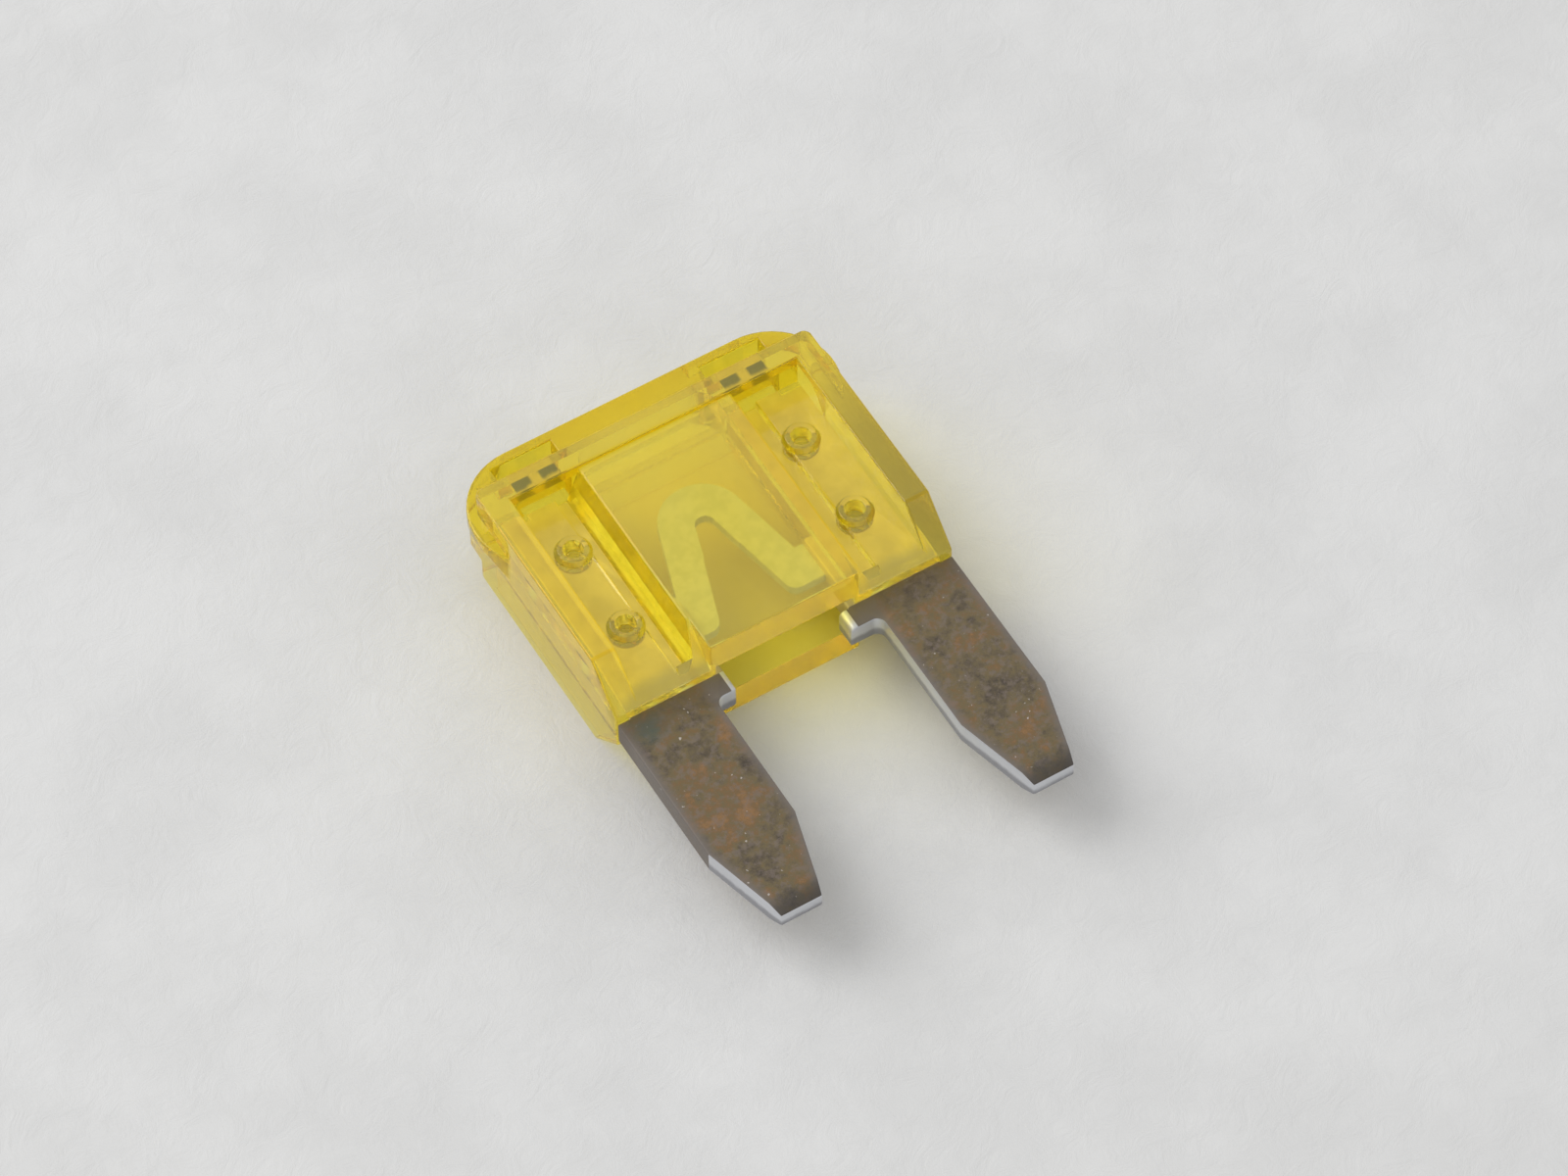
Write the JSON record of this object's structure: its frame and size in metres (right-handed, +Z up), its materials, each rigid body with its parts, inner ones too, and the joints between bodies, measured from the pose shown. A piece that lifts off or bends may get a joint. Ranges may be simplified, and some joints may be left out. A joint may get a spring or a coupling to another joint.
{
  "type": "blade fuse",
  "caption": "Miniature automotive blade fuse: a transparent yellow moulded housing over a stamped metal element with a thin fusible link.",
  "frame": {"origin": "middle of the bounding box, on the surface that the fuse lies on", "axes": "+X across the two blades, +Y along the fuse from the blade tips to the head, +Z up through its thickness"},
  "size_m": [0.0114, 0.0164, 0.0039],
  "materials": {
    "clear_yellow_plastic": "glossy transparent yellow polycarbonate, straight from a polished mould",
    "tarnished_zinc": "zinc alloy, mottled brown and grey tarnish on the blade faces, bare bright metal on cut edges and the link"
  },
  "bodies": {
    "root": {"housing": "clear_yellow_plastic", "fuse_element": "tarnished_zinc"}
  },
  "joints": []
}
